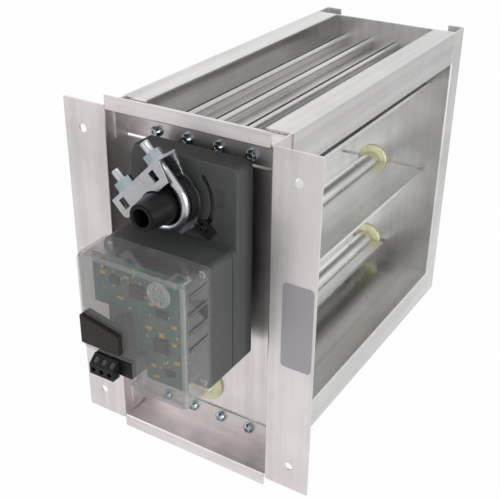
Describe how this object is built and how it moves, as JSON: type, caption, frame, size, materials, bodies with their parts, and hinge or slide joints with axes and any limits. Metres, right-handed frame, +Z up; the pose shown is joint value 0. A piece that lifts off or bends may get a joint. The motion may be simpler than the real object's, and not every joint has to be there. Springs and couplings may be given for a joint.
{
  "type": "motorized duct damper",
  "caption": "Rectangular duct damper with parallel blades in an aluminium casing, turned by a geared actuator clamped on the top blade's shaft inside a flanged side pan.",
  "frame": {"origin": "centre of the four flange holes, on the front face of the side flanges", "axes": "+X along the air stream, +Y from the flanges back along the blades, +Z up towards the driven blade"},
  "size_m": [0.1902, 0.3822, 0.2628],
  "materials": {
    "mill_aluminium": "mill",
    "channel_aluminium": "extruded",
    "blade_aluminium": "mill",
    "zinc_fasteners": "zinc plated",
    "nylon": "moulded",
    "axle_aluminium": "drawn",
    "linkage_steel": "zinc plated",
    "housing_grey": "fine moulded texture",
    "clear_cover": "clear polycarbonate",
    "steel_plate": "rolled",
    "motor_can": "satin",
    "sintered_brass": "sintered",
    "gear_acetal": "moulded",
    "drive_black": "moulded",
    "zinc_clamp": "bright zinc",
    "stop_dark": "oiled",
    "board_green": "solder mask",
    "board_parts": "moulded",
    "button_brown": "moulded",
    "terminal_black": "moulded",
    "sticker_silver": "satin film"
  },
  "bodies": {
    "casing": {"side_pan": "mill_aluminium", "top_closure": "mill_aluminium", "bottom_closure": "mill_aluminium", "top_channel": "channel_aluminium", "bottom_channel": "channel_aluminium", "far_channel": "mill_aluminium", "near_screws": "zinc_fasteners", "far_screws": "zinc_fasteners", "near_bearings": "nylon", "far_bearings": "nylon", "rear_shell": "housing_grey", "middle_shell": "housing_grey", "clear_cover": "clear_cover", "window_ring": "clear_cover", "shell_screws": "zinc_fasteners", "mounting_screws": "zinc_fasteners", "gear_plate": "steel_plate", "motor": "motor_can", "gear_pin": "steel_plate", "circuit_board": "board_green", "board_components": "board_parts", "release_spring": "linkage_steel", "terminal_socket": "terminal_black", "sticker": "sticker_silver"},
    "drive": {"output_sector": "gear_acetal", "drive_hub": "drive_black", "drive_tube": "drive_black", "drive_pin": "steel_plate", "clamp_bracket": "zinc_clamp", "u_bolt": "zinc_clamp", "u_bolt_nuts": "zinc_clamp", "pointer_ring": "zinc_clamp", "blade_top": "blade_aluminium", "axle_top": "axle_aluminium", "blade_screws_top": "zinc_fasteners", "crank_top": "linkage_steel"},
    "blade_middle_set": {"blade_middle": "blade_aluminium", "axle_middle": "axle_aluminium", "blade_screws_middle": "zinc_fasteners", "crank_middle": "linkage_steel"},
    "blade_bottom_set": {"blade_bottom": "blade_aluminium", "axle_bottom": "axle_aluminium", "blade_screws_bottom": "zinc_fasteners", "crank_bottom": "linkage_steel"},
    "link": {"link_bar": "linkage_steel", "link_clips": "linkage_steel"},
    "intermediate": {"intermediate_gear": "gear_acetal"},
    "motor_rotor": {"motor_pinion": "sintered_brass"},
    "stop": {"end_stop": "stop_dark"},
    "button": {"release_button": "button_brown"},
    "plug": {"terminal_plug": "terminal_black", "terminal_screws": "zinc_fasteners"}
  },
  "joints": [
    {"name": "drive_rotation", "type": "hinge", "parent": "casing", "child": "drive", "pos_m": [0, 0, 0.08], "axis": [0, 1, 0], "range_deg": [0, 90]},
    {"name": "blade_middle_rotation", "type": "hinge", "parent": "casing", "child": "blade_middle_set", "pos_m": [0, 0, 0], "axis": [0, 1, 0], "range_deg": [0, 90]},
    {"name": "blade_bottom_rotation", "type": "hinge", "parent": "casing", "child": "blade_bottom_set", "pos_m": [0, 0, -0.08], "axis": [0, 1, 0], "range_deg": [0, 90]},
    {"name": "link_swing", "type": "hinge", "parent": "drive", "child": "link", "pos_m": [0.01273, 0, 0.09273], "axis": [0, 1, 0], "range_deg": [-90, 0]},
    {"name": "intermediate_gear_spin", "type": "hinge", "parent": "casing", "child": "intermediate", "pos_m": [0, 0, 0.042], "axis": [0, 1, 0], "range_deg": [-481, 0]},
    {"name": "motor_pinion_spin", "type": "hinge", "parent": "casing", "child": "motor_rotor", "pos_m": [0.007, 0, 0.018], "axis": [0, 1, 0], "range_deg": [0, 1235]},
    {"name": "end_stop_setting", "type": "hinge", "parent": "casing", "child": "stop", "pos_m": [0, 0, 0.08], "axis": [0, -1, 0], "range_deg": [0, 75]},
    {"name": "release_button_press", "type": "slide", "parent": "casing", "child": "button", "axis": [0, 1, 0], "range_m": [0, 0.003], "stiffness_N_per_m": 300, "springref_m": -0.001, "deforming": ["release_spring"]},
    {"name": "terminal_plug_pull", "type": "slide", "parent": "casing", "child": "plug", "axis": [0, -1, 0], "range_m": [0, 0.012]}
  ],
  "couplings": [
    {"joint": "blade_middle_rotation", "follows": "drive_rotation", "ratio": 1},
    {"joint": "blade_bottom_rotation", "follows": "drive_rotation", "ratio": 1},
    {"joint": "link_swing", "follows": "drive_rotation", "ratio": -1},
    {"joint": "intermediate_gear_spin", "follows": "drive_rotation", "ratio": -5.3333},
    {"joint": "motor_pinion_spin", "follows": "drive_rotation", "ratio": 13.714}
  ]
}
